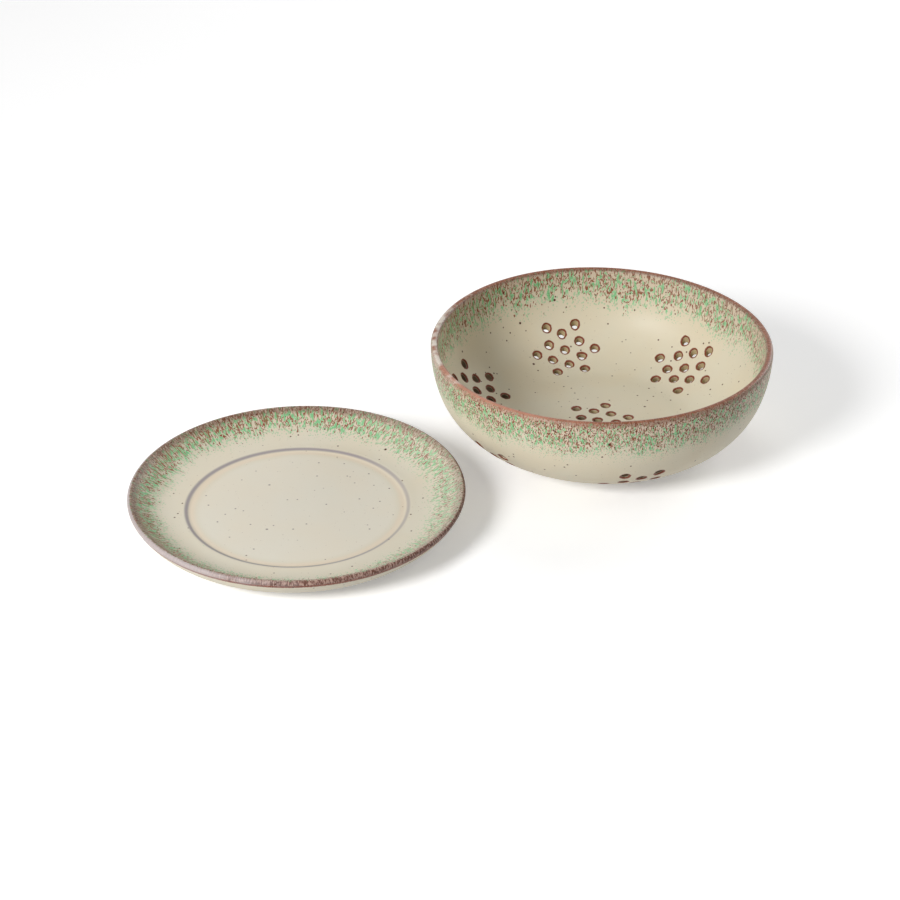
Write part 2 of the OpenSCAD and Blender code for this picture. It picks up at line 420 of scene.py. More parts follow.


# The lip, where the second glaze drew thin: strips round the rim, with pale sides that stray a little,
# painted sheen and painted light where the lip faces the lamps
def lipGlaze(tree, at, look, colour):
    rag = runNoise(tree, at["flow"], look["ragWide"], look["ragLong"], Detail=2.0)
    patch = addNode(tree, "TexNoise", {"Vector": at["spot"], "Scale": 1 / look["paleSize"], "Detail": 2.0})
    far = look["paleStray"]
    stray = addNode(tree, "MapRange", {"Value": patch, "From": noiseSpan, "To": (-far, far)})
    litPales = []
    for tint, bearing, start, full, share in look["litPales"]:
        facing = sideFacing(tree, at, look, bearing)
        facing = addNode(tree, "Math", {0: facing, 1: stray}, operation="ADD")
        side = addNode(tree, "MapRange", {"Value": facing, "From": (start, full), "To": (0.0, share)})
        litPales.append((tint, side))
    for tint, start, end, soft, reach, tickShare, paleShare, *shares in look["strips"]:
        strip = stripColour(tree, look, tint, tickShare, paleShare, rag, litPales)
        cover = stripCover(tree, at, look, start, end, soft, reach, shares, rag)
        colour = addNode(tree, "Mix", {"Factor": cover, "A": colour, "B": strip}, data_type="RGBA")
    return colour


# Iron specks out of the clay: spots around scattered points, a fine pale set and two dark ones
def ironSpecks(tree, at, look, colour):
    for spacing, radius, tint, strength in look["specks"]:
        points = addNode(tree, "TexVoronoi", {"Vector": at["spot"], "Scale": 1 / spacing})
        edge = radius / spacing
        mark = addNode(tree, "MapRange", {
            "Value": points, "From": (look["speckCore"] * edge, edge), "To": (strength, 0.0)})
        colour = addNode(tree, "Mix", {"Factor": mark, "A": colour, "B": linear(tint)}, data_type="RGBA")
    return colour


# The whole glaze up to the marks that only one piece has
def reactiveGlaze(tree, look):
    at = glazePlaces(tree, look)
    band = bandRun(tree, at, look)
    colour = creamGround(tree, at, band, look)
    colour, level, pools = greenPools(tree, at, band, look, colour)
    # painted shade: the band is darker on the side away from the lamps
    colour = sideShadeAndLight(tree, at, band, look, colour, "thick")
    colour = brownLines(tree, at, band, look, colour, level)
    colour = brownStreaks(tree, at, band, look, colour)
    # painted light: a pale veil over the band on its lit side
    colour = sideShadeAndLight(tree, at, band, look, colour, "paintedLightSides")
    colour = glazeSpots(tree, at, band, look, colour)
    colour = lipGlaze(tree, at, look, colour)
    colour = ironSpecks(tree, at, look, colour)
    return dict(at, colour=colour, pools=pools)


# Closes a glaze: bare gritty clay on the foot, satin cream, glossier pools, and fine swells of the surface
def glazeFinish(tree, look, made):
    bare = addNode(tree, "Attribute", attribute_name="bareClay").outputs["Fac"]
    grain = addNode(tree, "TexNoise", {"Vector": made["spot"], "Scale": 1 / look["gritSize"], "Detail": 3.0})
    coarse = addNode(tree, "MapRange", {"Value": grain, "From": look["gritSpan"]})
    clay = addNode(tree, "Mix", {
        "Factor": coarse, "A": linear(look["clay"]), "B": linear(look["grit"])}, data_type="RGBA")
    colour = addNode(tree, "Mix", {"Factor": bare, "A": made["colour"], "B": clay}, data_type="RGBA")
    rough = addNode(tree, "MapRange", {"Value": made["pools"], "To": (look["satin"], look["poolGloss"])})
    matt = bare
    if "matt" in made:
        matt = addNode(tree, "Math", {0: bare, 1: made["matt"]}, operation="MAXIMUM")
    rough = addNode(tree, "Mix", {"Factor": matt, "A": rough, "B": look["bareRough"]}, data_type="FLOAT")
    peel = addNode(tree, "TexNoise", {"Vector": made["spot"], "Scale": 1 / look["peel"], "Detail": 2.0})
    height = addNode(tree, "Math", {
        0: made["pools"], 1: look["poolHeight"], 2: peel}, operation="MULTIPLY_ADD")
    swell = addNode(tree, "Bump", {
        "Strength": look["swellStrength"], "Distance": look["swellHeight"] * mm, "Height": height})
    shade = addNode(tree, "BsdfPrincipled", {
        "Base Color": colour, "Roughness": rough, "Normal": swell, "IOR": look["ior"],
        "Specular IOR Level": look["gleam"]})
    addNode(tree, "OutputMaterial", {"Surface": shade})


# Turned shapes
sameSpot = 1e-4  # points closer than this are one, mm
wipedTop = 0.9  # a wiped foot is glazed above this height, as a share of its round
wipedSoft = 0.5  # below that, the glaze fades to bare clay over this share


# A smooth rise from 0 to 1, level at both ends
def smoothRise(share):
    return share * share * (3 - 2 * share)


# Points of an arc about a centre, from one angle to another in degrees, where 0 points out and 90 up
def arcRun(centre, radius, start, end, step):
    count = max(3, int(math.ceil(abs(math.radians(end - start)) * radius / step)) + 1)
    angle = np.radians(np.linspace(start, end, count))
    return np.c_[centre[0] + radius * np.cos(angle), centre[1] + radius * np.sin(angle)]


# Points of a straight line between two places
def lineRun(a, b, step):
    count = max(2, int(math.ceil(math.dist(a, b) / step)) + 1)
    share = np.linspace(0, 1, count)[:, None]
    return (1 - share) * np.array(a) + share * np.array(b)


# One profile from several runs, without the points where they meet twice
def joinRuns(*runs):
    points = np.vstack(runs)
    keep = np.r_[True, np.hypot(*np.diff(points, axis=0).T) > sameSpot]
    return points[keep]


# Way along a profile to each of its points
def runLength(profile):
    return np.r_[0.0, np.cumsum(np.hypot(*np.diff(profile, axis=0).T))]


# Faces between the rings of closed bands, one ring of point numbers per row
def bandFaces(rows):
    near, far = rows[..., :-1, :], rows[..., 1:, :]
    corners = [near, far, np.roll(far, -1, axis=-1), np.roll(near, -1, axis=-1)]
    return np.stack(corners, axis=-1).reshape(-1, 4)


# Puts points, faces and marks into a mesh, with every face turned outwards
def makePiece(name, points, faces, marks, centre, material):
    mesh = bpy.data.meshes.new(name)
    placed = (points + np.array([*centre, 0.0])) * mm
    mesh.from_pydata(placed.tolist(), [], [row for block in faces for row in block.tolist()])
    for key, values in marks.items():
        kind = "FLOAT_VECTOR" if values.ndim == 2 else "FLOAT"
        layer = mesh.attributes.new(key, kind, "POINT")
        layer.data.foreach_set("vector" if values.ndim == 2 else "value", values.astype(np.float32).ravel())
    shell = bmesh.new()
    shell.from_mesh(mesh)
    bmesh.ops.recalc_face_normals(shell, faces=shell.faces)
    shell.to_mesh(mesh)
    shell.free()
    mesh.shade_smooth()
    mesh.materials.append(material)
    piece = bpy.data.objects.new(name, mesh)
    scene.collection.objects.link(piece)
    return piece


# Middle, greatest radius and height of a node, in mm
def nodeSize(node):
    low, high = (np.array(corner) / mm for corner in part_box(node))
    return (low + high)[:2] / 2, (high - low)[:2].max() / 2, high[2]


# Share of bare clay at a height, on a foot whose bottom was wiped clean up to its round
def wipedShare(level, footRound):
    return np.clip((wipedTop * footRound - level) / (wipedSoft * footRound), 0, 1)


# Drip saucer
saucer = dict(
    lip=3.0, floor=4.3,  # thickness of the lip and of the floor, mm
    footRadius=60.0, footWidth=6.0, footHeight=2.5, footRound=0.9,
    belly=62.0,  # radius where the underside starts to rise
    wellRadius=52.5, stepWidth=4.4, wellDepth=1.2, shoulder=5.0,  # the well that takes the bowl's foot
    columns=240, step=1.1, lipStep=0.35, footStep=0.5, stepPoints=13,
    wave=0.25, waveTurn=0.7,  # how far the rim strays from level, and where
    ringGrey="9A9294", ringPlace=2.6, ringHalf=0.85, ringSoft=1.3,  # the grey line on the step, mm: pooled glaze and painted shade
    ringShare=0.95, ringLitShare=0.6, ringLitSide=(0.0, 0.5, 1.0),  # its painted shade is fainter toward this bearing, where the step is lit
    peach="E4D2BA", peachWidth=6.0, peachShare=0.6,  # the tint at the foot of the step
    wellCream="EAE6DC", wellPlace=-30.0, wellHalf=27.0, wellSoft=5.0, wellShare=0.3,  # paler in the well
    runs=dict(  # how the second glaze ran here, mm
        innerShare=1.0, outerShare=1.0,  # share of their length that runs count inside and outside
        # ends of the outer dip and of the lip, start of the full pools, end of the band, and spots past that
        dipEnd=2.6, lipEnd=3.0, poolStart=5.5, bandEnd=20.5, spotsPast=5.0,
        outsideFine=1.0,  # how much finer the grain is outside
        grain=(1.25, 2.7), breaks=(1.0, 2.2),  # width and length of the pools and of the lines' breaks
        # level on the lip and below, start and end of the fade, bearing and amount of the denser side
        pools=(-0.09, -0.025, 12.5, 22.0, 195.0, 0.0),
        # place and half width at the pools' edge, level on the lip and below, start and end of the fade
        lines=(0.07, 0.05, 0.16, 0.10, 11.0, 21.0),
        # pitch, draw along the run, size at its fullest and at the end, start, fullest, and more outside
        fleck=(1.5, 1.1, 0.46, 0.0, 11.0, 16.0, 0.0),
        dot=(2.0, 1.2, 0.25, -0.06, -1.0, 0.0, 0.0),
        # width, length, level, bearing and amount of the denser side, share
        streaks=(0.85, 5.0, 0.64, 195.0, 0.06, 0.85),
        # colour, bearing, start, fullest and share: the band's painted shade and painted light, the lip's
        # lilac with painted sheen
        thick=(("477C4C", 190.0, 0.2, 1.0, 0.40),),
        paintedLightSides=(("E6E4D4", 355.0, 0.0, 1.0, 0.32),),
        litPales=(("BFB5B4", 195.0, 0.25, 0.7, 1.0),),
        thinSide=(350.0, 0.0, 0.9),  # bearing, start and fullest of the side where the lip's strips are thin
        strips=(  # colour, start, end, softness and sway in mm, shares of ticks, pale, cover and thin cover
            ("705A4A", 0.2, 5.0, 1.8, 2.2, 0.95, 0.0, 0.75, 0.42),
            ("96766C", -2.4, 1.0, 0.3, 0.3, 0.85, 0.8, 1.0, 1.0),
            ("84412C", -3.5, -1.9, 0.25, 0.35, 0.35, 0.3, 1.0, 1.0),
        ),
    ),
)


# Radius of an arc that leaves level ground at a point and touches the lip's round
def flareRadius(start, lipMiddle, lipRadius):
    out, up = lipMiddle[0] - start[0], lipMiddle[1] - start[1]
    return (out ** 2 + up ** 2 - lipRadius ** 2) / (2 * (up + lipRadius))


# A foot ring's half section, from its outer side round its bottom to its inner side
def footSection(part, top, step):
    ground, foot = part["footRound"], part["footRadius"]
    footIn = foot - part["footWidth"]
    return joinRuns(
        lineRun((foot, top), (foot, ground), step),
        arcRun((foot - ground, ground), ground, 0, -90, ground / 3),
        lineRun((foot - ground, 0.0), (footIn + ground, 0.0), 2 * step),
        arcRun((footIn + ground, ground), ground, -90, -180, ground / 3),
        lineRun((footIn, ground), (footIn, top), step))


# The half section from the middle of the well over the lip and back under to the middle
def saucerProfile(part, rim, height):
    step = part["step"]
    half = part["lip"] / 2
    lipMiddle = (rim - half, height - half)
    wellLevel = part["footHeight"] + part["floor"]
    shoulder = (part["wellRadius"] + part["shoulder"], wellLevel + part["wellDepth"])
    inner = flareRadius(shoulder, lipMiddle, half)
    outer = flareRadius((part["belly"], part["footHeight"]), lipMiddle, -half)
    innerMiddle = (shoulder[0], shoulder[1] + inner)
    outerMiddle = (part["belly"], part["footHeight"] + outer)
    innerLean = math.degrees(math.atan2(lipMiddle[1] - innerMiddle[1], lipMiddle[0] - innerMiddle[0]))
    outerLean = math.degrees(math.atan2(lipMiddle[1] - outerMiddle[1], lipMiddle[0] - outerMiddle[0]))
    share = np.linspace(0, 1, part["stepPoints"])
    well = joinRuns(
        lineRun((0.0, wellLevel), (part["wellRadius"], wellLevel), step),
        np.c_[part["wellRadius"] + share * part["stepWidth"],
              wellLevel + smoothRise(share) * part["wellDepth"]],
        arcRun(innerMiddle, inner, -90, innerLean, step))
    lip = arcRun(lipMiddle, half, innerLean + 180, outerLean, part["lipStep"])
    under = arcRun(outerMiddle, outer, outerLean, -90, step)
    foot = footSection(part, part["footHeight"], part["footStep"])
    base = lineRun(foot[-1], (0.0, part["footHeight"]), step)
    return joinRuns(well, lip, under, foot, base), len(well) + len(lip) // 2


# The half section turned about its middle: each of its points makes a ring, which strays from level in two
# waves that grow with the square of the height
def buildSaucer(part, material):
    centre, rim, height = nodeSize("drip_saucer")
    profile, crown = saucerProfile(part, rim, height)
    rows, columns = len(profile), part["columns"]
    bearing = np.arange(columns) * fullTurn / columns
    radius, level = profile[1:-1, 0, None], profile[1:-1, 1, None]
    stray = (level / height) ** 2 * part["wave"] * np.sin(2 * bearing + part["waveTurn"])
    rings = np.stack([radius * np.cos(bearing), radius * np.sin(bearing), level + stray], axis=-1)
    points = np.vstack([[[0, 0, profile[0, 1]]], rings.reshape(-1, 3), [[0, 0, profile[-1, 1]]]])
    grid = 1 + np.arange((rows - 2) * columns).reshape(rows - 2, columns)
    side = np.roll(grid, -1, axis=1)
    top = np.stack([np.zeros(columns, int), grid[0], side[0]], axis=-1)
    bottom = np.stack([np.full(columns, len(points) - 1), side[-1], grid[-1]], axis=-1)

    length = runLength(profile)
    run = length[crown] - length  # positive on the upper side, negative below
    perRow = np.r_[0, np.repeat(np.arange(1, rows - 1), columns), rows - 1]
    angle = np.r_[0.0, np.tile(bearing, rows - 2), 0.0]
    under = np.arange(rows) > crown
    marks = dict(
        flow=np.c_[rim * np.cos(angle), rim * np.sin(angle), run[perRow]],
        bareClay=np.where(under, wipedShare(profile[:, 1], part["footRound"]), 0.0)[perRow],
        ringRun=np.where(under, rim, profile[:, 0] - part["wellRadius"])[perRow])
    return makePiece("saucerBody", points, [bandFaces(grid), top, bottom], marks, centre, material)


# The saucer's glaze: the shared one, a little paler in the well, with a peach tint at the foot of the well's
# step and a grey line on the step, of pooled glaze and painted shade, painted fainter where the step is lit
def saucerGlaze(look, part):
    material, tree = newMaterial("cream reactive glaze on saucer")
    runs = {**look, **part["runs"], "rim": nodeSize("drip_saucer")[1]}
    made = reactiveGlaze(tree, runs)
    # painted shade on the step's grey line, fainter on its lit side
    grey = sideShare(tree, made, runs, part["ringLitSide"], part["ringShare"], part["ringLitShare"])
    ring = addNode(tree, "Attribute", attribute_name="ringRun").outputs["Fac"]
    colour = made["colour"]
    for tint, place, half, soft, share in (
            ("wellCream", part["wellPlace"], part["wellHalf"], part["wellSoft"], part["wellShare"]),
            ("peach", 0.0, part["peachWidth"] / 4, part["peachWidth"] / 2, part["peachShare"]),
            ("ringGrey", part["ringPlace"], part["ringHalf"], part["ringSoft"], grey)):
        away = addNode(tree, "Math", {0: ring, 1: place}, operation="SUBTRACT")
        away = addNode(tree, "Math", {0: away}, operation="ABSOLUTE")
        mark = addNode(tree, "MapRange", {
            "Value": away, "From": (half - soft / 2, half + soft / 2),
            "To": (share, 0.0)}, interpolation_type="SMOOTHSTEP")
        colour = addNode(tree, "Mix", {
            "Factor": mark, "A": colour, "B": linear(part[tint])}, data_type="RGBA")
    glazeFinish(tree, look, dict(made, colour=colour))
    return material


saucerBody = buildSaucer(saucer, saucerGlaze(glaze, saucer))
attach(saucerBody, "saucer")
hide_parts("drip_saucer")
print("saucer turned:", len(saucerBody.data.polygons), "faces")


# Colander bowl
bowl = dict(
    lip=3.8, floor=5.4,  # thickness of the lip and of the floor, mm
    knuckle=44.0, wall=69.0,  # outer radii of the curve over the foot and of the wall
    footRadius=50.0, footWidth=6.0, footHeight=3.0, footRound=0.9, footCove=0.8, footStep=0.6,
    holeEdge=2.7, roundIn=0.7, roundOut=0.8,  # radii of a drain hole's edge and of its rounds in and out
    pitch=9.5, starReach=68.5, starTurn=42.7, stars=6,  # of the holes and of their stars, mm and degrees
    drillLean=28.0, drillFade=2.0,  # degrees from upright, and way of the fade at the foot, mm
    wander=0.32, wobble=0.03, seed=11,  # how far a hand-drilled hole strays, in place and in shape
    netStep=1.7, guard=0.85, netSnap=1e-7,  # step of the net, width of a hole's guard, merging, mm
    rimRoom=0.6, holeRoom=0.55, footRoom=0.5,  # least room of the net's loose points, in steps
    holeSides=24, roundRows=5, boreRows=2, rimSides=300, lipRows=15, footSides=168,
    runSamples=4000, batches=8,  # points on the run where the foot is looked for, and parts of a large sum
    waveOnce=(0.53, -0.68), waveTwice=(-0.28, -0.44),  # how the rim strays from level, cosine and sine
    ringBrown="7C3F29", ringOut=0.1, ringIn=0.9, ringSoft=0.25,  # the brown edge of a hole, mm
    ringRag=0.15, ragSize=1.4, ragSpan=(0.3, 0.7),  # its stray and the size of its swings, mm, noise levels
    boreShade="574226", borePale="B8A57D", boreShare=0.9, boreSoft=0.6,  # matt glaze in the holes; its dark colour is painted shade
    boreLitSide=(50.0, -0.35, 0.55),  # bearing, start and fullest of the lit side, where the holes keep the pale coat instead of painted shade
    runs=dict(  # how the second glaze ran here, in the same order as for the saucer
        innerShare=0.74, outerShare=0.86,
        dipEnd=100.0, lipEnd=2.0, poolStart=4.5, bandEnd=19.0, spotsPast=4.0,  # dipped past the whole outside
        outsideFine=1.55,
        cream="DAD2BC", warmCream="DBD0B7",
        grain=(1.4, 3.3), breaks=(1.05, 2.0),
        pools=(-0.10, -0.053, 12.5, 20.5, 180.0, 0.008),
        lines=(0.075, 0.055, 0.10, 0.05, 11.0, 20.0),
        fleck=(1.4, 1.2, 0.44, 0.0, 10.0, 15.0, 0.0),
        dot=(1.6, 1.1, 0.26, -0.05, -1.0, 0.0, 0.12),
        streaks=(0.8, 4.0, 0.66, 180.0, 0.0, 0.8),
        # the band's painted shade on the left, and painted light toward the back right
        thick=(("6E6844", 180.0, 0.4, 1.0, 0.15),),
        paintedLightSides=(("E6E4D4", 30.0, 0.3, 1.0, 0.12),),
        # the lip's pale sides: painted light on the front left, and a painted sheen on the far left
        litPales=(("CC9279", 216.0, 0.52, 1.0, 0.68), ("E0D8CC", 181.0, 0.86, 1.0, 0.9)),
        thinSide=(30.0, 0.0, 0.9),
        strips=(
            ("9C8374", 0.8, 3.0, 0.8, 0.8, 0.5, 0.0, 0.4, 0.2),
            ("6E3F2A", 1.0, 2.2, 0.35, 0.3, 0.4, 0.0, 0.7, 0.6),
            ("865843", -3.2, -0.5, 0.9, 1.4, 0.8, 0.5, 0.7, 0.7),
            ("8E5438", -1.3, 1.2, 0.3, 0.35, 0.45, 1.0, 1.0, 1.0),
        ),
    ),
)
starArms = 6  # holes around a star's middle
armTurn = fullTurn / starArms
tipReach = math.sqrt(3)  # from a star's middle to the gaps between those holes, in pitches


# An inner or outer half section: a level floor, a knuckle's arc and a wall's arc that meets the rim upright
def cupCurve(radius, wall, knuckle, level, rimLevel):
    wallMiddle = np.array([radius - wall, rimLevel])
    across = math.sqrt((wall - knuckle) ** 2 - (rimLevel - level - knuckle) ** 2)
    kneeMiddle = np.array([wallMiddle[0] + across, level + knuckle])
    turn = math.atan2(across, wallMiddle[1] - kneeMiddle[1])
    return dict(wall=wall, knuckle=knuckle, wallMiddle=wallMiddle, kneeMiddle=kneeMiddle, turn=turn)


# Both half sections, and runs along the inside from its middle to the ends of its floor, knuckle and wall
def bowlCurves(part, rim, height):
    half = part["lip"] / 2
    rimLevel = height - half
    floorLevel = part["footHeight"] + part["floor"]
    outer = cupCurve(rim, part["wall"], part["knuckle"], part["footHeight"], rimLevel)
    inner = cupCurve(rim - part["lip"], part["wall"] - (part["floor"] + part["lip"]) / 2,
                     part["knuckle"] - part["floor"], floorLevel, rimLevel)
    flat = inner["kneeMiddle"][0]
    knee = flat + inner["knuckle"] * inner["turn"]
    rimReach = knee + inner["wall"] * (math.pi / 2 - inner["turn"])
    return dict(inner=inner, outer=outer, flat=flat, knee=knee, rimReach=rimReach, rimLevel=rimLevel,
                rim=rim, height=height, half=half, floorLevel=floorLevel)


# Inside of the bowl at a run from its middle: level floor, then the knuckle's arc, then the wall's arc.
# Gives radius, height and the lean of the surface.
def insideAt(curves, reach):
    inner = curves["inner"]
    onKnee = reach < curves["knee"]
    lean = np.where(onKnee, np.maximum(reach - curves["flat"], 0) / inner["knuckle"],
                    inner["turn"] + (reach - curves["knee"]) / inner["wall"])
    middle = np.where(onKnee[..., None], inner["kneeMiddle"], inner["wallMiddle"])
    curve = np.where(onKnee, inner["knuckle"], inner["wall"])
    radius = np.where(reach < curves["flat"], reach, middle[..., 0] + curve * np.sin(lean))
    level = np.where(reach < curves["flat"], curves["floorLevel"], middle[..., 1] - curve * np.cos(lean))
    return radius, level, lean


# Thickness of the clay, square to the inside: the way along the surface's normal to the outer arc
def thicknessAt(part, curves, reach):
    radius, level, lean = insideAt(curves, reach)
    outer = curves["outer"]
    onKnee = lean < (curves["inner"]["turn"] + outer["turn"]) / 2
    middle = np.where(onKnee[..., None], outer["kneeMiddle"], outer["wallMiddle"])
    curve = np.where(onKnee, outer["knuckle"], outer["wall"])
    apart = np.stack([radius, level], axis=-1) - middle
    along = apart[..., 0] * np.sin(lean) - apart[..., 1] * np.cos(lean)
    thick = -along + np.sqrt(along ** 2 - (apart ** 2).sum(-1) + curve ** 2)
    return np.where(reach < outer["kneeMiddle"][0], part["floor"], thick)


# A turned point of the bowl, with the stray of the thrown rim growing with the square of the height
def turnedPoint(part, curves, radius, level, bearing):
    wave = (part["waveOnce"][0] * np.cos(bearing) + part["waveOnce"][1] * np.sin(bearing)
            + part["waveTwice"][0] * np.cos(2 * bearing) + part["waveTwice"][1] * np.sin(2 * bearing))
    lift = (level / curves["height"]) ** 2 * wave
    return np.stack([radius * np.cos(bearing), radius * np.sin(bearing), level + lift], axis=-1)


# A point of the clay at a run and bearing on the inside, sunk by a depth along the normal
def clayPoint(part, curves, reach, bearing, depth):
    radius, level, lean = insideAt(curves, reach)
    return turnedPoint(part, curves, radius + depth * np.sin(lean), level - depth * np.cos(lean), bearing)


# Drain holes as run, bearing and shape: stars of one hole, six around it and six in the gaps between those.
# A shape is two shares and two turns of the waves that make its edge not quite round.
def starHoles(part, curves):
    chance = np.random.default_rng(part["seed"])
    arms = np.arange(starArms) * armTurn
    near = part["pitch"] * np.c_[np.cos(arms + armTurn / 2), np.sin(arms + armTurn / 2)]
    tips = part["pitch"] * tipReach * np.c_[np.cos(arms), np.sin(arms)]
    spots = np.vstack([np.zeros((1, 2)), near, tips])
    spots = spots + chance.normal(0, part["wander"], (part["stars"] + 1, *spots.shape))
    turn = math.radians(part["starTurn"])
    floorReach = np.hypot(*spots[0].T)
    floorBearing = np.arctan2(spots[0, :, 1], spots[0, :, 0]) + turn + armTurn / 2
    wallReach = part["starReach"] + spots[1:, :, 1]
    starBearing = turn + np.arange(part["stars"])[:, None] * fullTurn / part["stars"]
    wallBearing = starBearing + spots[1:, :, 0] / insideAt(curves, wallReach)[0]
    reach = np.r_[floorReach, wallReach.ravel()]
    bearing = np.r_[floorBearing, wallBearing.ravel()]
    share = chance.normal(0, part["wobble"], (2, len(reach)))
    phase = chance.uniform(0, fullTurn, (2, len(reach)))
    return dict(reach=reach, bearing=bearing, share=share, phase=phase, count=len(reach))


# Angle between the drill and the normal of the inside: it stood upright over the floor and leaned in the wall
def drillSlant(part, curves, reach):
    lean = insideAt(curves, reach)[2]
    return np.where(reach < curves["flat"], 0.0, lean - math.radians(part["drillLean"]))


# How far down the wall the outer end of a hole lies because of the slant, fading out at the foot and the rim
def drillShift(part, curves, reach, footReach):
    low = np.clip((reach - footReach[1]) / part["drillFade"], 0, 1)
    top = part["starReach"] + tipReach * part["pitch"]
    high = np.clip((curves["rimReach"] - reach) / (curves["rimReach"] - top), 0, 1)
    fade = smoothRise(low) * smoothRise(high)
    return fade * thicknessAt(part, curves, reach) * np.tan(drillSlant(part, curves, reach))


# Run and bearing at a distance and angle around each hole: flat on the floor, along the curve on the wall.
# The distance swells and shrinks with the hole's shape, and a slanted hole is drawn out along the wall; the
# result has one row per hole.
def aroundHoles(part, curves, holes, distance, angle):
    shape = (holes["count"],) + (1,) * np.broadcast(distance, angle).ndim
    holeReach, holeBearing = holes["reach"].reshape(shape), holes["bearing"].reshape(shape)
    swell = 1.0
    for wave, (share, phase) in enumerate(zip(holes["share"], holes["phase"]), start=2):
        swell = swell + share.reshape(shape) * np.cos(wave * angle + phase.reshape(shape))
    across = distance * swell * np.cos(angle)
    along = distance * swell * np.sin(angle) / np.cos(drillSlant(part, curves, holeReach))
    flatX = holeReach * np.cos(holeBearing) + across
    flatY = holeReach * np.sin(holeBearing) + along
    onFloor = holeReach < curves["flat"] / 2
    reach = np.where(onFloor, np.hypot(flatX, flatY), holeReach + along)
    onWall = holeBearing + across / insideAt(curves, np.maximum(holeReach, part["pitch"]))[0]
    return reach, np.where(onFloor, np.arctan2(flatY, flatX), onWall)


# Runs on the inside that lie over the two sides of the foot ring
def footReaches(part, curves):
    run = np.linspace(0, curves["rimReach"], part["runSamples"])
    radius, _, lean = insideAt(curves, run)
    outside = radius + thicknessAt(part, curves, run) * np.sin(lean)
    footIn = part["footRadius"] - part["footWidth"]
    return np.interp([footIn - part["footCove"], part["footRadius"] + part["footCove"]], outside, run)


# Loose points of the net: rings a step apart, clear of the holes and of the foot
def loosePoints(part, curves, holes, footReach):
    step = part["netStep"]
    levels = np.arange(step, curves["rimReach"] - part["rimRoom"] * step, step)
    counts = np.round(fullTurn * insideAt(curves, levels)[0] / step).astype(int)
    which = np.repeat(np.arange(len(levels)), counts)
    within = np.arange(counts.sum()) - np.repeat(np.cumsum(counts) - counts, counts)
    reach = levels[which]
    bearing = fullTurn * (within + which % 2 / 2) / counts[which]  # every other ring is half a step round
    room = part["holeEdge"] + part["guard"] + part["holeRoom"] * step
    clear = holeDistance(part, curves, holes, reach, bearing) > room
    clear &= np.abs(reach[:, None] - footReach).min(1) > part["footRoom"] * step
    return reach[clear], bearing[clear]


# Distance from points of the inside to the middle of the nearest hole
def holeDistance(part, curves, holes, reach, bearing):
    points = clayPoint(part, curves, reach, bearing, 0.0)
    middles = clayPoint(part, curves, holes["reach"], holes["bearing"], 0.0)
    groups = np.array_split(points, part["batches"])  # a few at a time, to spare memory
    return np.concatenate([np.linalg.norm(group[:, None] - middles, axis=-1).min(1) for group in groups])


# The net of the inside: triangles between the rim, the foot's two sides, the holes' edges and loose points.
# They are found flat, with the run as radius, so the same net serves the outside.
def bowlNet(part, curves, holes):
    rimBearing = np.arange(part["rimSides"]) * fullTurn / part["rimSides"]
    footBearing = np.arange(part["footSides"]) * fullTurn / part["footSides"]
    footReach = footReaches(part, curves)
    edge = part["holeEdge"]
    holeTurn = np.arange(part["holeSides"]) * fullTurn / part["holeSides"]
    ringReach, ringBearing = aroundHoles(part, curves, holes, edge, holeTurn)
    guardTurn = holeTurn[::2] + holeTurn[1] / 2
    guardReach, guardBearing = aroundHoles(part, curves, holes, edge + part["guard"], guardTurn)
    looseReach, looseBearing = loosePoints(part, curves, holes, footReach)
    reach = np.r_[np.full(len(rimBearing), curves["rimReach"]), np.repeat(footReach, len(footBearing)),
                  ringReach.ravel(), guardReach.ravel(), looseReach]
    bearing = np.r_[rimBearing, footBearing, footBearing,
                    ringBearing.ravel(), guardBearing.ravel(), looseBearing]
    rimRing, footRings, holeRings, _ = np.split(
        np.arange(len(reach)), np.cumsum([len(rimBearing), 2 * len(footBearing), ringReach.size]))
    footRings, holeRings = footRings.reshape(2, -1), holeRings.reshape(holes["count"], -1)
    fixed = [np.stack([ring, np.roll(ring, -1, axis=-1)], axis=-1).reshape(-1, 2)
             for ring in (rimRing, footRings, holeRings)]
    flat = np.c_[reach * np.cos(bearing), reach * np.sin(bearing)]
    wholeHull = 0  # the kind of net that has every triangle
    _, _, triangles, origins, _, _ = delaunay_2d_cdt(
        [Vector(spot) for spot in flat], np.vstack(fixed).tolist(), [], wholeHull, part["netSnap"])
    net = np.array([origin[0] for origin in origins])[np.array(triangles)]
    owner = np.full(len(reach), -1)
    owner[holeRings] = np.arange(holes["count"])[:, None]
    inHole = (owner[net[:, 0]] >= 0) & (owner[net] == owner[net[:, :1]]).all(1)
    net = net[~inHole]
    middle = reach[net].mean(1)
    underFoot = (middle > footReach[0]) & (middle < footReach[1])
    return dict(reach=reach, bearing=bearing, count=len(reach),
                inside=net, outside=net[~underFoot] + len(reach),
                rimRing=rimRing, footRings=footRings, holeRings=holeRings, rimBearing=rimBearing,
                footBearing=footBearing, footReach=footReach, holeTurn=holeTurn)


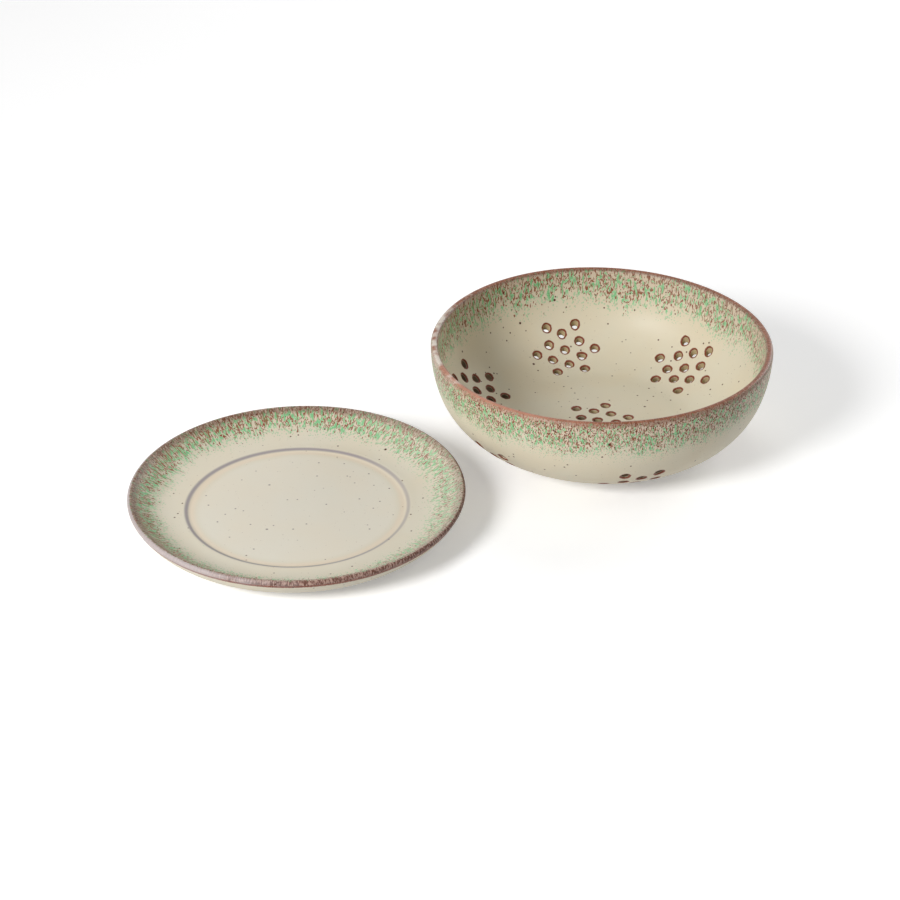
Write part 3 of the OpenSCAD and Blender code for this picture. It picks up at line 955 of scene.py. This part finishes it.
# Rows of rings through every hole: a round edge inside, a slanted bore, and a round edge outside.
# Gives points, runs, bearings and each row's way into the hole.
def boreRings(part, curves, holes, holeTurn, footReach):
    edge, nearRound, farRound = part["holeEdge"], part["roundIn"], part["roundOut"]
    swing = np.linspace(0, math.pi / 2, part["roundRows"])
    back = swing[::-1]
    between = np.linspace(0, 1, part["boreRows"] + 2)[1:-1]  # rows of the straight bore
    straight = (edge - nearRound) * (1 - between) + (edge - farRound) * between
    distance = np.r_[edge - nearRound * np.sin(swing), straight, edge - farRound * np.sin(back)]
    sink = np.r_[nearRound * (1 - np.cos(swing)), 0 * between, -farRound * (1 - np.cos(back))]
    share = np.r_[0 * swing, between, 1 + 0 * swing]  # of the thickness
    into = np.r_[nearRound * swing, part["floor"] / 2 + 0 * between, farRound * back]
    distance, sink, share = (row[1:-1, None] for row in (distance, sink, share))
    reach, bearing = aroundHoles(part, curves, holes, distance, holeTurn)
    reach = reach - share * drillShift(part, curves, reach, footReach)
    depth = share * thicknessAt(part, curves, reach) + sink
    points = clayPoint(part, curves, reach, bearing, depth)
    return dict(points=points, reach=reach, bearing=bearing, into=into[1:-1])


# Rings over the rim: half a round from the inside to the outside, with each row's run from its top
def lipRings(part, curves, bearing):
    swing = np.linspace(math.pi, 0, part["lipRows"])[1:-1, None]
    radius = curves["rim"] - curves["half"] + curves["half"] * np.cos(swing)
    level = curves["rimLevel"] + curves["half"] * np.sin(swing)
    run = curves["half"] * (swing[:, 0] - math.pi / 2)
    return dict(points=turnedPoint(part, curves, radius, level, bearing), run=run)


# Rings of the foot from its inner to its outer side, with a cove against the floor on the inside
def footRingRows(part, curves, bearing):
    cove, top = part["footCove"], part["footHeight"]
    footIn = part["footRadius"] - part["footWidth"]
    inner = arcRun((footIn - cove, top - cove), cove, 90, 0, cove / 3)[1:]
    section = joinRuns(inner, footSection(part, top - cove, part["footStep"])[::-1])
    points = turnedPoint(part, curves, section[:, :1], section[:, 1:], bearing)
    return dict(points=points, level=section[:, 1])


# Marks for the glaze at every point: run from the lip's top, way from a hole's edge, and bare clay. They are
# in the order of the points: inside, outside, bores, lip, foot.
def bowlMarks(part, curves, holes, net, outReach, bores, lip, foot):
    reach, bearing, rim = net["reach"], net["bearing"], curves["rim"]
    quarter = curves["half"] * math.pi / 2
    netRun = curves["rimReach"] - reach + quarter
    outRun = outReach - curves["rimReach"] - quarter
    boreRun = curves["rimReach"] - bores["reach"] + quarter
    lipRun = np.repeat(lip["run"], len(net["rimBearing"]))
    footBare = np.repeat(wipedShare(foot["level"], part["footRound"]), len(net["footBearing"]))
    run = np.r_[netRun, outRun, boreRun.ravel(), lipRun, np.full(len(footBare), -rim)]
    around = np.r_[bearing, bearing, bores["bearing"].ravel(),
                   np.tile(net["rimBearing"], len(lip["run"])),
                   np.tile(net["footBearing"], len(foot["level"]))]
    away = holeDistance(part, curves, holes, reach, bearing) - part["holeEdge"]
    away[net["holeRings"]] = 0.0
    within = np.broadcast_to(-bores["into"][:, None], bores["reach"].shape)
    holeRun = np.r_[away, away, within.ravel(), np.full(len(lipRun) + len(footBare), rim)]
    bare = np.r_[np.zeros(len(run) - len(footBare)), footBare]
    flow = np.c_[rim * np.cos(around), rim * np.sin(around), run]
    return dict(flow=flow, holeRun=holeRun, bareClay=bare)


# One net of triangles, lifted to the inside and to the outside, with bores, a lip and a foot between them
def buildBowl(part, material):
    centre, rim, height = nodeSize("colander_bowl")
    curves = bowlCurves(part, rim, height)
    holes = starHoles(part, curves)
    net = bowlNet(part, curves, holes)
    reach, bearing, count = net["reach"], net["bearing"], net["count"]
    outReach = reach - drillShift(part, curves, reach, net["footReach"])
    inside = clayPoint(part, curves, reach, bearing, 0.0)
    outside = clayPoint(part, curves, outReach, bearing, thicknessAt(part, curves, outReach))
    bores = boreRings(part, curves, holes, net["holeTurn"], net["footReach"])
    lip = lipRings(part, curves, net["rimBearing"])
    foot = footRingRows(part, curves, net["footBearing"])
    marks = bowlMarks(part, curves, holes, net, outReach, bores, lip, foot)

    # all points in order, and their numbers in the strips between the inside and the outside
    strips = [strip["points"] for strip in (bores, lip, foot)]
    points = np.vstack([block.reshape(-1, 3) for block in (inside, outside, *strips)])
    starts = 2 * count + np.cumsum([0] + [strip.size // 3 for strip in strips])
    boreRows, lipRows, footRows = (
        start + np.arange(strip.size // 3).reshape(strip.shape[:-1]) for start, strip in zip(starts, strips))
    holeRings, rimRing, footRings = net["holeRings"], net["rimRing"], net["footRings"]
    boreRows = np.concatenate([holeRings[:, None], boreRows, holeRings[:, None] + count], axis=1)
    lipRows = np.concatenate([rimRing[None], lipRows, rimRing[None] + count])
    footRows = np.concatenate([footRings[:1] + count, footRows, footRings[1:] + count])
    faces = [net["inside"], net["outside"], bandFaces(boreRows), bandFaces(lipRows), bandFaces(footRows)]

    # only the points that a face uses are kept
    used = np.unique(np.concatenate([block.ravel() for block in faces]))
    renumber = np.zeros(len(points), int)
    renumber[used] = np.arange(len(used))
    kept = {key: values[used] for key, values in marks.items()}
    return makePiece("bowlBody", points[used], [renumber[block] for block in faces], kept, centre, material)


# The bowl's glaze: the shared one, with brown edges where it drew back from the drain holes, and a matt coat
# in the holes, which is pale on the lit side of the bowl and painted dark with shade on the other
def bowlGlaze(look, part):
    material, tree = newMaterial("cream reactive glaze on bowl")
    runs = {**look, **part["runs"], "rim": nodeSize("colander_bowl")[1]}
    made = reactiveGlaze(tree, runs)
    hole = addNode(tree, "Attribute", attribute_name="holeRun").outputs["Fac"]
    rag = addNode(tree, "TexNoise", {"Vector": made["spot"], "Scale": 1 / part["ragSize"]})
    stray = addNode(tree, "MapRange", {
        "Value": rag, "From": part["ragSpan"], "To": (-part["ringRag"], part["ringRag"])})
    run = addNode(tree, "Math", {0: hole, 1: stray}, operation="ADD")
    outer = addNode(tree, "MapRange", {
        "Value": run, "From": (part["ringOut"], part["ringOut"] + part["ringSoft"]), "To": (1.0, 0.0)})
    inner = addNode(tree, "MapRange", {
        "Value": run, "From": (-part["ringIn"] - part["ringSoft"], -part["ringIn"])})
    ring = addNode(tree, "Math", {0: outer, 1: inner}, operation="MULTIPLY")
    colour = addNode(tree, "Mix", {
        "Factor": ring, "A": made["colour"], "B": linear(part["ringBrown"])}, data_type="RGBA")
    bore = addNode(tree, "MapRange", {
        "Value": hole, "From": (-part["ringIn"] - part["boreSoft"], -part["ringIn"]),
        "To": (part["boreShare"], 0.0)})
    # painted shade: the holes are painted dark on the side of the bowl away from the lamps
    thick = sideShare(tree, made, runs, part["boreLitSide"], 0.0, 1.0)
    coat = addNode(tree, "Mix", {
        "Factor": thick, "A": linear(part["boreShade"]), "B": linear(part["borePale"])}, data_type="RGBA")
    colour = addNode(tree, "Mix", {"Factor": bore, "A": colour, "B": coat}, data_type="RGBA")
    glazeFinish(tree, look, dict(made, colour=colour, matt=bore))
    return material


bowlBody = buildBowl(bowl, bowlGlaze(glaze, bowl))
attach(bowlBody, "bowl")
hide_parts("colander_bowl")
print("bowl turned and drilled:", len(bowlBody.data.polygons), "faces")
